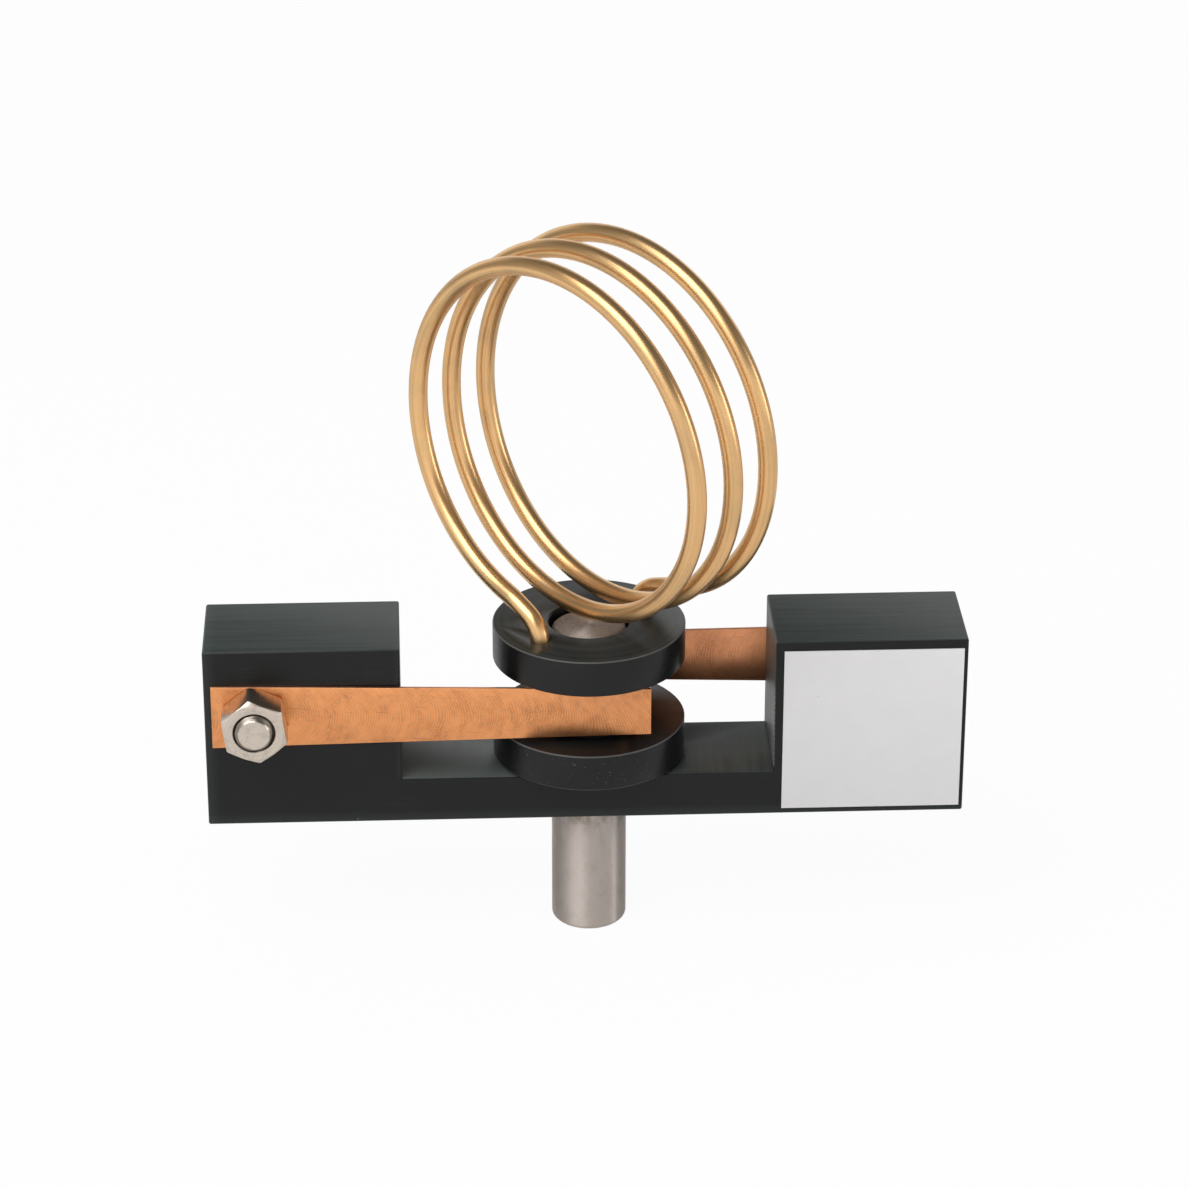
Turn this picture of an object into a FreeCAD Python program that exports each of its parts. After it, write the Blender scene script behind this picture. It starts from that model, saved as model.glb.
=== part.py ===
"""Demonstration motor: a bare wire coil that turns on a stand rod between two brushes.

Parametric document in millimetres, +Z up. The origin lies on the axis of the steel rod, at
the underside of the bar. +X runs along the bar to the labelled block, and -Y faces the side
of the front brush. Every size is a cell of the spreadsheet "Sizes".
"""
import FreeCAD, Part
import math
import os
import re

import Sketcher

from FreeCAD import Placement, Rotation, Vector

SIZES = (
    # bar, one piece milled to a shallow U
    ("bar_length", 100.2, "over both blocks"),
    ("bar_depth", 15.0, "front to back"),
    ("block_height", 25.3, "of both end blocks"),
    ("web_thickness", 6.3, "of the low middle"),
    ("left_block_length", 25.65, "along the bar"),
    ("right_block_length", 25.35, "along the bar"),
    ("axle_shift", 0.6, "rod axis, right of the bar's middle"),
    ("bar_edge_break", 0.2, "chamfer on the bar's outer edges"),
    # steel rod, stand stem below the bar and axle above it
    ("rod_diameter", 10.0, "stem and axle"),
    ("rod_seat_diameter", 10.4, "knurled band pressed into the bar"),
    ("stem_length", 18.8, "below the bar"),
    ("rod_top_inset", 0.7, "below the upper disc's top"),
    ("rod_end_break", 0.5, "chamfer on both ends"),
    # thrust washer
    ("washer_diameter", 17.0, "outside"),
    ("washer_thickness", 0.4, ""),
    ("washer_clearance", 0.2, "radial, round the rod"),
    ("axial_play", 0.05, "between washer and rotor"),
    # rotor
    ("disc_diameter", 25.5, "both discs"),
    ("disc_thickness", 5.0, "both discs"),
    ("disc_bore_clearance", 0.35, "radial, round the rod"),
    ("disc_edge_break", 0.15, "chamfer on the discs' rims"),
    ("disc_bore_break", 0.2, "chamfer on the mouths of the discs' bores"),
    ("disc_spacing", 8.75, "between the discs"),
    ("running_clearance", 0.06, "radial, hub on rod"),
    ("commutator_diameter", 16.5, "over the half shells"),
    ("shell_thickness", 1.0, "of a half shell"),
    ("segment_slot", 1.6, "between the half shells"),
    ("segment_lift", 0.85, "half shells above the lower disc"),
    # brushes
    ("brush_thickness", 0.5, "copper strip"),
    ("brush_root_width", 8.9, "at the clamped end"),
    ("brush_tip_width", 6.6, "at the free end"),
    ("brush_tail", 5.7, "clamped end beyond the stud"),
    ("brush_flat", 5.5, "flat on the block past the stud"),
    ("brush_tip_reach", 7.8, "free end, past the rod axis"),
    ("brush_clearance", 0.1, "to the commutator"),
    ("brush_hole_clearance", 0.15, "radial, round the stud"),
    ("brush_height", 16.1, "strip's middle above the underside"),
    # terminals
    ("front_inset", 6.65, "front stud to the bar's left end"),
    ("rear_inset", 6.3, "rear stud to the bar's right end"),
    ("stud_diameter", 5.0, "thread size M5"),
    ("stud_depth", 10.0, "screwed into the block"),
    ("stud_proud", 0.6, "beyond the nut"),
    ("stud_end_break", 0.5, "chamfer on both ends"),
    ("nut_width", 8.0, "across flats"),
    ("nut_height", 4.7, ""),
    ("nut_countersink", 0.3, "both mouths of the thread"),
    ("nut_face_diameter", 7.7, "flat face inside the corner chamfer"),
    ("nut_angle", 38.0, "degrees, where it was tightened to"),
    # label
    ("label_width", 23.65, ""),
    ("label_height", 23.15, ""),
    ("label_thickness", 0.2, ""),
    ("label_side_margin", 0.55, "to the bar's right end"),
    ("label_foot_margin", 0.9, "to the bar's underside"),
    # coil
    ("wire_diameter", 2.5, ""),
    ("coil_diameter", 48.56, "mean, at the middle turn"),
    ("coil_turns", 3, ""),
    ("coil_pitch", 6.32, "per turn along its axis"),
    ("coil_radius_gain", 0.346, "of the radius, per turn"),
    ("coil_bow", 0.107, "radius of the middle turn over the mean of its neighbours"),
    ("coil_oval", 0.2, "of a turn's long side, per turn from the middle"),
    ("coil_oval_angle", 20.5, "degrees from the lowest point to the long side"),
    ("coil_shift", -0.14, "middle turn from the rod axis, along the coil axis"),
    ("coil_angle", 42.25, "degrees, coil axis from +X in plan"),
    ("coil_lean_angle", 1.3, "degrees, coil axis above level"),
    ("coil_clearance", 1.90, "upper disc to the middle turn"),
    ("lead_start_angle", 16.0, "degrees before the lowest point"),
    ("lead_run", 1.8, "straight on from the last turn"),
    ("lead_radius", 2.8, "of the bend down into the disc"),
    ("lead_easing", 8.0, "radius of the sideways bend"),
    ("lead_corner", 2.0, "bend's corner above the disc"),
    ("lead_reach", 8.75, "wire hole from the rod axis"),
    ("lead_angle", -1.5, "degrees, wire hole from the coil axis"),
    ("wire_hole_clearance", 0.05, "radial, wire in the upper disc"),
    # solder
    ("solder_diameter", 3.8, "cup in the disc's underside"),
    ("solder_depth", 1.0, ""),
)

PLANES = {"XY": "XY_Plane", "XZ": "XZ_Plane"}
ARC_STEP = 60.0         # degrees of a coil turn per arc of its path

doc = FreeCAD.newDocument("demonstration_motor")
sheet = doc.addObject("Spreadsheet::Sheet", "Sizes")


def fill_sheet():
    """Write each size as a named cell, with its meaning beside it."""
    for row, (name, value, meaning) in enumerate(SIZES, start=1):
        sheet.set(f"A{row}", name)
        sheet.set(f"B{row}", str(value))
        sheet.setAlias(f"B{row}", name)
        sheet.set(f"C{row}", meaning)
    doc.recompute()


def size(name):
    """One size as a number."""
    return float(sheet.get(name))


def bound(text):
    """The expression with each size's name made a reference to its cell."""
    names = "|".join(name for name, value, meaning in SIZES)
    return re.sub(rf"\b({names})\b", r"Sizes.\1", text)


def number(text):
    """The value of an expression on the sizes."""
    value = sheet.evalExpression(bound(text))
    return float(getattr(value, "Value", value))


def bind(item, **expressions):
    """Tie properties to expressions; a double underscore stands for a dot."""
    for path, text in expressions.items():
        item.setExpression(path.replace("__", "."), bound(text))


# Heights that several pieces share, as expressions on the sizes
ROTOR_BASE = "(web_thickness + washer_thickness + axial_play)"
GAP_BASE = f"({ROTOR_BASE} + disc_thickness)"
UPPER_BASE = f"({GAP_BASE} + disc_spacing)"
ROTOR_TOP = f"({UPPER_BASE} + disc_thickness)"
BAR_LEFT = "(-bar_length / 2 - axle_shift)"
BAR_RIGHT = "(bar_length / 2 - axle_shift)"
STUD_REACH = {-1: f"(-{BAR_LEFT} - front_inset)", 1: f"({BAR_RIGHT} - rear_inset)"}
DISC_BORE = "(rod_diameter / 2 + disc_bore_clearance)"
HUB_RADIUS = "(commutator_diameter / 2 - shell_thickness)"
COIL_AXIS = f"({ROTOR_TOP} + coil_clearance + wire_diameter / 2 + coil_diameter / 2)"


# Sketches

def new_body(name):
    return doc.addObject("PartDesign::Body", name)


def new_sketch(body, plane, name):
    """A sketch on one of the body's own origin planes."""
    sketch = body.newObject("Sketcher::SketchObject", name)
    role = PLANES[plane]
    support = next(part for part in body.Origin.OriginFeatures if part.Role == role)
    sketch.AttachmentSupport = [(support, "")]
    sketch.MapMode = "FlatFace"
    return sketch


def place_point(sketch, geometry, point, across, up):
    """Fix a sketch point by two expressions, measured from the sketch's origin."""
    for kind, text, axis in (("DistanceX", across, -2), ("DistanceY", up, -1)):
        if text == "0":
            sketch.addConstraint(Sketcher.Constraint("PointOnObject", geometry, point, axis))
            continue
        rule = Sketcher.Constraint(kind, -1, 1, geometry, point, number(text))
        index = sketch.addConstraint(rule)
        sketch.setExpression(f"Constraints[{index}]", bound(text))


def add_polygon(sketch, corners):
    """Closed outline through corners, each a pair of expressions."""
    ends = [Vector(number(across), number(up), 0) for across, up in corners]
    first = sketch.GeometryCount
    count = len(ends)
    for index in range(count):
        sketch.addGeometry(Part.LineSegment(ends[index], ends[(index + 1) % count]), False)
    for index in range(count):
        after = first + (index + 1) % count
        sketch.addConstraint(Sketcher.Constraint("Coincident", first + index, 2, after, 1))
    for index, (across, up) in enumerate(corners):
        place_point(sketch, first + index, 1, across, up)


def add_circle(sketch, across, up, diameter):
    """Circle with its centre and diameter as expressions."""
    centre = Vector(number(across), number(up), 0)
    circle = Part.Circle(centre, Vector(0, 0, 1), number(diameter) / 2)
    geometry = sketch.addGeometry(circle, False)
    place_point(sketch, geometry, 3, across, up)
    rule = Sketcher.Constraint("Diameter", geometry, number(diameter))
    index = sketch.addConstraint(rule)
    sketch.setExpression(f"Constraints[{index}]", bound(diameter))


# Features

def add_pad(body, sketch, name, length):
    """Pad a sketch by length, half to each side."""
    pad = body.newObject("PartDesign::Pad", name)
    pad.Profile = sketch
    pad.SideType = "Symmetric"
    bind(pad, Length=length)
    return pad


def add_pocket(body, sketch, name, depth=None, flipped=False):
    """Cut a sketch to depth, or right through both ways; it has to take material away."""
    doc.recompute()
    before = body.Shape.Volume
    pocket = body.newObject("PartDesign::Pocket", name)
    pocket.Profile = sketch
    if depth is None:
        pocket.Type = "ThroughAll"
        pocket.SideType = "Symmetric"
    else:
        bind(pocket, Length=depth)
        pocket.Reversed = flipped
    doc.recompute()
    if body.Shape.Volume >= before:
        raise RuntimeError(f"{name} cuts nothing")
    return pocket


def turned_body(name, profile, angle=None):
    """Solid of revolution about Z; profile holds (radius, height) expressions."""
    body = new_body(name)
    sketch = new_sketch(body, "XZ", f"{name}_profile")
    add_polygon(sketch, profile)
    turn = body.newObject("PartDesign::Revolution", f"{name}_turn")
    turn.Profile = sketch
    turn.ReferenceAxis = (sketch, ["V_Axis"])
    if angle is None:
        turn.Angle = 360.0
    else:
        turn.Midplane = True
        bind(turn, Angle=angle)
    return body


def ring_profile(inner, outer, base, thickness):
    """(radius, height) corners of a plain ring."""
    top = f"{base} + {thickness}"
    return [(inner, base), (outer, base), (outer, top), (inner, top)]


def broken_profile(inner, outer, base, thickness, bore_break, rim_break):
    """(radius, height) corners of a ring with chamfers at its bore and at its rim."""
    top = f"{base} + {thickness}"
    return [
        (inner, f"{base} + {bore_break}"),
        (f"{inner} + {bore_break}", base),
        (f"{outer} - {rim_break}", base),
        (outer, f"{base} + {rim_break}"),
        (outer, f"{top} - {rim_break}"),
        (f"{outer} - {rim_break}", top),
        (f"{inner} + {bore_break}", top),
        (inner, f"{top} - {bore_break}"),
    ]


def stand_on_face(node, side):
    """Put a piece built along +Z on the front (-1) or rear (+1) face of the bar."""
    turn = Rotation(Vector(1, 0, 0), 90) if side < 0 else Rotation(Vector(1, 0, 0), -90)
    node.Placement = Placement(Vector(), turn)
    place = {
        "Placement__Base__x": f"{side} * {STUD_REACH[side]}",
        "Placement__Base__y": f"{side} * bar_depth / 2",
        "Placement__Base__z": "brush_height",
    }
    bind(node, **place)


# Fixed pieces

def make_bar():
    """Milled bar: U outline, chamfered, drilled for the rod and the two studs."""
    body = new_body("base_bar")
    outline = new_sketch(body, "XZ", "bar_outline")
    left_step = f"{BAR_LEFT} + left_block_length"
    right_step = f"{BAR_RIGHT} - right_block_length"
    add_polygon(outline, [
        (BAR_LEFT, "0"),
        (BAR_RIGHT, "0"),
        (BAR_RIGHT, "block_height"),
        (right_step, "block_height"),
        (right_step, "web_thickness"),
        (left_step, "web_thickness"),
        (left_step, "block_height"),
        (BAR_LEFT, "block_height"),
    ])
    pad = add_pad(body, outline, "bar_block", "bar_depth")
    doc.recompute()
    breaks = body.newObject("PartDesign::Chamfer", "bar_breaks")
    breaks.Base = (pad, outer_edges(pad.Shape))
    bind(breaks, Size="bar_edge_break")

    rod_hole = new_sketch(body, "XY", "bar_rod_hole")
    add_circle(rod_hole, "0", "0", "rod_seat_diameter")
    add_pocket(body, rod_hole, "bar_rod_bore")
    for name, side in (("front", -1), ("rear", 1)):
        hole = new_sketch(body, "XZ", f"bar_{name}_stud_hole")
        bind(hole, AttachmentOffset__Base__z=f"{-side} * bar_depth / 2")
        add_circle(hole, f"{side} * {STUD_REACH[side]}", "brush_height", "stud_diameter")
        add_pocket(body, hole, f"bar_{name}_stud_bore", "stud_depth", flipped=side > 0)
    return body


def outer_edges(shape):
    """Names of the edges to break: all but the two inner corners at the web."""
    web = size("web_thickness")
    names = []
    for index, edge in enumerate(shape.Edges, start=1):
        heights = [vertex.Point.z for vertex in edge.Vertexes]
        across = [vertex.Point.y for vertex in edge.Vertexes]
        at_web = all(abs(height - web) < 1e-6 for height in heights)
        if at_web and abs(across[0] - across[-1]) > 1e-6:
            continue
        names.append(f"Edge{index}")
    return names


def make_rod():
    """Ground steel rod, chamfered at both ends, with the band that grips the bar."""
    radius = "rod_diameter / 2"
    seat = "rod_seat_diameter / 2"
    top = f"{ROTOR_TOP} - rod_top_inset"
    return turned_body("axle_rod", [
        ("0", "-stem_length"),
        (f"{radius} - rod_end_break", "-stem_length"),
        (radius, "-stem_length + rod_end_break"),
        (radius, "0"),
        (seat, "0"),
        (seat, "web_thickness"),
        (radius, "web_thickness"),
        (radius, f"{top} - rod_end_break"),
        (f"{radius} - rod_end_break", top),
        ("0", top),
    ])


def make_washer():
    inner = "rod_diameter / 2 + washer_clearance"
    profile = ring_profile(inner, "washer_diameter / 2", "web_thickness", "washer_thickness")
    return turned_body("thrust_washer", profile)


def make_brush(name, side):
    """Copper strip: flat under the nut, then straight out and past the commutator.

    The free part leaves the block at the angle whose line clears the commutator by
    brush_clearance, so the angle follows from the sizes.
    """
    inset = size("front_inset") if side < 0 else size("rear_inset")
    reach = size("bar_length") / 2 - side * size("axle_shift") - inset
    face = size("bar_depth") / 2
    bend = reach - size("brush_flat")
    touch = size("commutator_diameter") / 2 + size("brush_clearance")
    angle = math.asin(touch / math.hypot(bend, face)) - math.atan2(face, bend)
    root = -reach - size("brush_tail")
    tip = size("brush_tip_reach")
    rest = (bend + tip) / math.cos(angle)
    thick = size("brush_thickness")
    along = Vector(math.cos(angle), -math.sin(angle), 0)
    out = Vector(-math.sin(angle), -math.cos(angle), 0)
    miter = thick * math.tan(angle / 2)
    corner = Vector(-bend, -face, 0)
    strip = Part.makePolygon([
        Vector(root, -face, 0),
        corner,
        corner + along * rest,
        corner + along * rest + out * thick,
        Vector(-bend - miter, -face - thick, 0),
        Vector(root, -face - thick, 0),
        Vector(root, -face, 0),
    ])
    plan = doc.addObject("Part::Feature", f"{name}_plan")
    plan.Shape = Part.Face(strip)
    blank = doc.addObject("Part::Extrusion", f"{name}_blank")
    blank.Base = plan
    blank.Dir = Vector(0, 0, 1)
    blank.Solid = True
    blank.Symmetric = True
    bind(blank, LengthFwd="brush_root_width")

    cutter = new_body(f"{name}_outline")
    outline = new_sketch(cutter, "XZ", f"{name}_taper")
    add_polygon(outline, [
        (f"{root}", "-brush_root_width / 2"),
        (f"{tip}", "-brush_tip_width / 2"),
        (f"{tip}", "brush_tip_width / 2"),
        (f"{root}", "brush_root_width / 2"),
    ])
    add_circle(outline, f"{-reach}", "0", "stud_diameter + 2 * brush_hole_clearance")
    add_pad(cutter, outline, f"{name}_punch", "3 * bar_depth")

    brush = doc.addObject("Part::Common", name)
    brush.Base = blank
    brush.Tool = cutter
    brush.Placement.Rotation = Rotation(Vector(0, 0, 1), 0 if side < 0 else 180)
    bind(brush, Placement__Base__z="brush_height")
    return brush


def make_stud(name, side):
    """Threaded stud, in the block to stud_depth and proud of its nut."""
    radius = "stud_diameter / 2"
    end = "brush_thickness + nut_height + stud_proud"
    body = turned_body(name, [
        ("0", "-stud_depth"),
        (f"{radius} - stud_end_break", "-stud_depth"),
        (radius, "-stud_depth + stud_end_break"),
        (radius, f"{end} - stud_end_break"),
        (f"{radius} - stud_end_break", end),
        ("0", end),
    ])
    stand_on_face(body, side)
    return body


def make_nut(name, side):
    """Hexagon nut: a turned blank with 30 degree corner chamfers, common with a prism."""
    corner = "(nut_width / sqrt(3))"
    drop = f"({corner} - nut_face_diameter / 2) * tan(30)"
    bore = "stud_diameter / 2"
    base = "brush_thickness"
    top = f"{base} + nut_height"
    blank = turned_body(f"{name}_blank", [
        (bore, f"{base} + nut_countersink"),
        (f"{bore} + nut_countersink", base),
        ("nut_face_diameter / 2", base),
        (corner, f"{base} + {drop}"),
        (corner, f"{top} - {drop}"),
        ("nut_face_diameter / 2", top),
        (f"{bore} + nut_countersink", top),
        (bore, f"{top} - nut_countersink"),
    ])
    prism = doc.addObject("Part::Prism", f"{name}_prism")
    prism.Polygon = 6
    bind(prism, Circumradius=corner, Height="nut_height", Placement__Base__z=base)
    bind(prism, Placement__Rotation__Angle="nut_angle")
    nut = doc.addObject("Part::Common", name)
    nut.Base = blank
    nut.Tool = prism
    stand_on_face(nut, side)
    return nut


def make_label():
    """Plain plate on the front face of the right block."""
    label = doc.addObject("Part::Box", "label_plate")
    bind(label, Length="label_width", Width="label_thickness", Height="label_height")
    bind(label, Placement__Base__x=f"{BAR_RIGHT} - label_side_margin - label_width")
    bind(label, Placement__Base__y="-bar_depth / 2 - label_thickness")
    bind(label, Placement__Base__z="label_foot_margin")
    return label


# Rotor

def make_disc(name, base):
    profile = broken_profile(DISC_BORE, "disc_diameter / 2", base, "disc_thickness",
                             "disc_bore_break", "disc_edge_break")
    return turned_body(name, profile)


def make_hub():
    """Insulating hub: the bearing on the rod, and the seat of both half shells."""
    inner = "rod_diameter / 2 + running_clearance"
    profile = ring_profile(inner, HUB_RADIUS, GAP_BASE, "disc_spacing")
    return turned_body("commutator_hub", profile)


def make_segment(name, turn):
    """Copper half shell from the upper disc down, open by half a slot at each end."""
    profile = ring_profile(HUB_RADIUS, "commutator_diameter / 2",
                           f"({GAP_BASE} + segment_lift)", "disc_spacing - segment_lift")
    arc = "180 - 2 * asin(segment_slot / commutator_diameter) / 1deg"
    segment = turned_body(name, profile, arc)
    segment.Placement.Rotation = Rotation(Vector(0, 0, 1), 0)
    bind(segment, Placement__Rotation__Angle=turn)
    return segment


def coil_point(angle):
    """Point of the coil's centre line and its direction, angle in degrees from the start.

    A turn starts at its lowest point and rises on the left. The radius grows by
    coil_radius_gain per turn and falls by coil_bow times the square of the turns from the
    middle, and the outer turns are oval by coil_oval. The axis leans by coil_lean_angle.
    """
    middle = 180.0 * size("coil_turns")
    plan = math.radians(size("coil_angle"))
    lean = math.radians(size("coil_lean_angle"))
    level = Vector(math.cos(plan), math.sin(plan), 0)
    across = Vector(math.sin(plan), -math.cos(plan), 0)
    axis = level * math.cos(lean) + Vector(0, 0, math.sin(lean))
    up = Vector(0, 0, math.cos(lean)) - level * math.sin(lean)
    swing = math.radians(angle)
    share = (angle - middle) / 360.0
    twice = 2 * (swing - math.radians(size("coil_oval_angle")))
    gain, bow, oval = size("coil_radius_gain"), size("coil_bow"), size("coil_oval")
    radius = size("coil_diameter") / 2 + gain * share - bow * share ** 2
    radius += oval * share * math.cos(twice)
    growth = gain - 2 * bow * share + oval * math.cos(twice)
    growth -= 4 * math.pi * oval * share * math.sin(twice)
    spoke = across * -math.sin(swing) - up * math.cos(swing)
    sweep = across * -math.cos(swing) + up * math.sin(swing)
    centre = Vector(0, 0, number(COIL_AXIS)) + axis * size("coil_shift")
    point = centre + axis * (size("coil_pitch") * share) + spoke * radius
    heading = sweep * (2 * math.pi * radius) + axis * size("coil_pitch") + spoke * growth
    return point, heading.normalize()


def lead_place(end):
    """Plan position of a wire hole, end 0 at the first turn and 1 at the last."""
    turn = math.radians(size("coil_angle") + size("lead_angle") + 180 * (1 - end))
    return Vector(math.cos(turn), math.sin(turn), 0) * size("lead_reach")


def rounded_corner(before, corner, after, radius):
    """Arc that rounds a corner between two runs: its start, middle and end."""
    back = (before - corner).normalize()
    ahead = (after - corner).normalize()
    half = back.getAngle(ahead) / 2
    inward = (back + ahead).normalize()
    centre = corner + inward * (radius / math.sin(half))
    reach = radius / math.tan(half)
    return corner + back * reach, centre - inward * radius, corner + ahead * reach


def lead_runs(end, start, heading):
    """Runs from an end of the turns down to the underside of the upper disc.

    They leave start along heading. A run of two points is straight and one of three is an
    arc.
    """
    place = lead_place(end)
    turn = start + heading * size("lead_run")
    corner = place + Vector(0, 0, number(ROTOR_TOP) + size("lead_corner"))
    foot = place + Vector(0, 0, number(UPPER_BASE))
    easing = rounded_corner(start, turn, corner, size("lead_easing"))
    bend = rounded_corner(turn, corner, foot, size("lead_radius"))
    return [(start, easing[0]), easing, (easing[2], bend[0]), bend, (bend[2], foot)]


def turn_runs(start, heading, angles):
    """Arcs from start through the helix at each angle, and the direction they end in.

    Each arc leaves along the direction in which the one before it arrived.
    """
    runs = []
    for angle in angles:
        end = coil_point(angle)[0]
        chord = end - start
        along = Vector(chord).normalize()
        aside = (heading - along * heading.dot(along)).normalize()
        rise = chord.Length / 2 * math.tan(heading.getAngle(chord) / 2)
        runs.append((start, start + chord * 0.5 + aside * rise, end))
        heading = along * (2 * heading.dot(along)) - heading
        start = end
    return runs, heading


def make_coil():
    """Round wire swept from one foot, round the turns and down to the other foot."""
    first = size("lead_start_angle")
    last = 360.0 * size("coil_turns") - first
    count = math.ceil((last - first) / ARC_STEP)
    angles = [first + (last - first) * (index + 1) / count for index in range(count)]
    start, heading = coil_point(first)
    rise = [tuple(reversed(run)) for run in reversed(lead_runs(0, start, heading * -1))]
    turns, arrival = turn_runs(start, heading, angles)
    edges = []
    for run in rise + turns + lead_runs(1, turns[-1][2], arrival):
        curve = Part.LineSegment(*run) if len(run) == 2 else Part.Arc(*run)
        edges.append(curve.toShape())
    path = doc.addObject("Part::Feature", "coil_path")
    path.Shape = Part.Wire(edges)

    section = doc.addObject("Part::Circle", "coil_section")
    bind(section, Radius="wire_diameter / 2")
    section.Placement.Base = rise[0][0]
    coil = doc.addObject("Part::Sweep", "coil")
    coil.Sections = [section]
    coil.Spine = (path, [f"Edge{index + 1}" for index in range(len(edges))])
    coil.Solid = True
    doc.recompute()
    swept = coil.Shape.Volume
    drawn = path.Shape.Length * math.pi * size("wire_diameter") ** 2 / 4
    print(f"coil: wire {path.Shape.Length:.1f} mm, volume {swept:.1f} of {drawn:.1f}")
    if abs(swept / drawn - 1) > 0.01:
        raise RuntimeError("the coil's volume is not its section times its length")
    return coil


def lead_cylinder(name, end, diameter, depth):
    """Upright cylinder round one lead, from the upper disc's underside."""
    cylinder = doc.addObject("Part::Cylinder", name)
    bind(cylinder, Radius=f"({diameter}) / 2", Height=depth)
    cylinder.Placement.Base = lead_place(end) + Vector(0, 0, number(UPPER_BASE))
    return cylinder


def make_cut(name, base, tool):
    cut = doc.addObject("Part::Cut", name)
    cut.Base = base
    cut.Tool = tool
    return cut


def make_upper_disc():
    """Upper disc, drilled for both leads and cupped below for their solder."""
    disc = make_disc("upper_disc_blank", UPPER_BASE)
    hole = "wire_diameter + 2 * wire_hole_clearance"
    for end in (0, 1):
        cup = lead_cylinder(f"disc_cup_{end + 1}", end, "solder_diameter", "solder_depth")
        disc = make_cut(f"cupped_disc_{end + 1}", disc, cup)
        drill = lead_cylinder(f"wire_drill_{end + 1}", end, hole, "disc_thickness")
        disc = make_cut(f"drilled_disc_{end + 1}", disc, drill)
    disc.Label = "upper_disc"
    return disc


def make_solder():
    """Rings of solder that fill the cups round the wire."""
    rings = []
    for end in (0, 1):
        cup = lead_cylinder(f"solder_{end + 1}", end, "solder_diameter", "solder_depth")
        wire = lead_cylinder(f"solder_wire_{end + 1}", end, "wire_diameter", "solder_depth")
        rings.append(make_cut(f"solder_ring_{end + 1}", cup, wire))
    joints = doc.addObject("Part::Compound", "solder_joints")
    joints.Links = rings
    return joints


def make_rotor():
    """Discs, hub, half shells, coil and its solder."""
    return [
        make_disc("lower_disc", ROTOR_BASE),
        make_hub(),
        make_segment("commutator_segment_a", "coil_angle + 180"),
        make_segment("commutator_segment_b", "coil_angle"),
        make_upper_disc(),
        make_coil(),
        make_solder(),
    ]


def make_frame():
    """Bar, rod and what is fastened to them."""
    return [
        make_bar(),
        make_rod(),
        make_washer(),
        make_brush("front_brush", -1),
        make_brush("rear_brush", 1),
        make_stud("front_stud", -1),
        make_stud("rear_stud", 1),
        make_nut("front_nut", -1),
        make_nut("rear_nut", 1),
        make_label(),
    ]


def check(nodes):
    """Stop on any failed object or bad shape."""
    for item in doc.Objects:
        if "Invalid" in item.State or "Error" in item.State:
            raise RuntimeError(f"{item.Label}: {item.State}")
    for node in nodes:
        shape = node.Shape
        if shape.isNull() or not shape.isValid() or not shape.Solids:
            raise RuntimeError(f"{node.Label}: no valid solid")
        print(f"{node.Label}: {len(shape.Solids)} solid, {shape.Volume:.2f} mm3")


def main():
    fill_sheet()
    nodes = make_frame() + make_rotor()
    doc.recompute()
    check(nodes)
    os.makedirs("parts", exist_ok=True)
    for node in nodes:
        node.Shape.exportStep(f"parts/{node.Label}.step")


main()
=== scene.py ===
"""Looks of the demonstration motor: its finer pieces, finishes, lights and camera.

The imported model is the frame. Each operator dresses one piece or one group of like pieces,
and the stage operator adds the floor, the lights and the camera. Lengths are in metres, and
materials count in millimetres.
"""

import math

import bmesh
import bpy
import numpy as np
from bpy.props import FloatProperty, FloatVectorProperty, IntProperty, PointerProperty
from mathutils import Matrix, Vector


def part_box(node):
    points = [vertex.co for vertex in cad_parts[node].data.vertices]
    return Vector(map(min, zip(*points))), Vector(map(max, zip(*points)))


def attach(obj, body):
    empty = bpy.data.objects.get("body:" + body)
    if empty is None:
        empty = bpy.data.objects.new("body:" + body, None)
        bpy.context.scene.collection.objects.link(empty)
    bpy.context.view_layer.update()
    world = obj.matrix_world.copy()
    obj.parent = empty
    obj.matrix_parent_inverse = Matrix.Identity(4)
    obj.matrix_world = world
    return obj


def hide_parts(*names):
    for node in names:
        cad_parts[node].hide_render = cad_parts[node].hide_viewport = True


bl_info = {
    "name": "Demonstration motor",
    "version": (1, 0, 0),
    "blender": (4, 5, 0),
    "location": "View3D > Sidebar > Motor",
    "description": "Builds the looks of a classroom motor round its packed frame",
    "category": "Object",
}

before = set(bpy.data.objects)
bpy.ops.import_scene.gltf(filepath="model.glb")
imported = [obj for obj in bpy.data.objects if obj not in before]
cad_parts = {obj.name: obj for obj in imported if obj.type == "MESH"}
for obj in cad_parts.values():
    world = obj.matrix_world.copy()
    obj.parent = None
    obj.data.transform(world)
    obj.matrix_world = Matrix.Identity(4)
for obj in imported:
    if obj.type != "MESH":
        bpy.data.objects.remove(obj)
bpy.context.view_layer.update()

MM = 0.001
# Points nearer than this are one point, on a new grid and in a copy of a node
GRID_GAP = 1e-8
NODE_GAP = 1e-6
# Faces that turn by less are one flat face, and edges that turn by more are rounded
FLAT_ANGLE = math.radians(0.4)
EDGE_ANGLE = math.radians(25)
# Lowest and highest corners of the nodes that others are placed by
BAR_LOW, BAR_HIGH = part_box("base_bar")
ROD_LOW, ROD_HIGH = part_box("axle_rod")
DISC_LOW, DISC_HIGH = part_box("upper_disc")
LOWER_LOW, LOWER_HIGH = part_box("lower_disc")


# Settings

def number(name, description, default, **kind):
    """Setting for a number, of a unit or none."""
    return FloatProperty(name=name, description=description, default=default, **kind)


def length(name, description, default):
    """Setting for a length in metres."""
    return number(name, description, default, unit="LENGTH", precision=6)


def angle(name, description, degrees):
    """Setting for an angle; its default is given in degrees."""
    return number(name, description, math.radians(degrees), unit="ROTATION")


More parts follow.
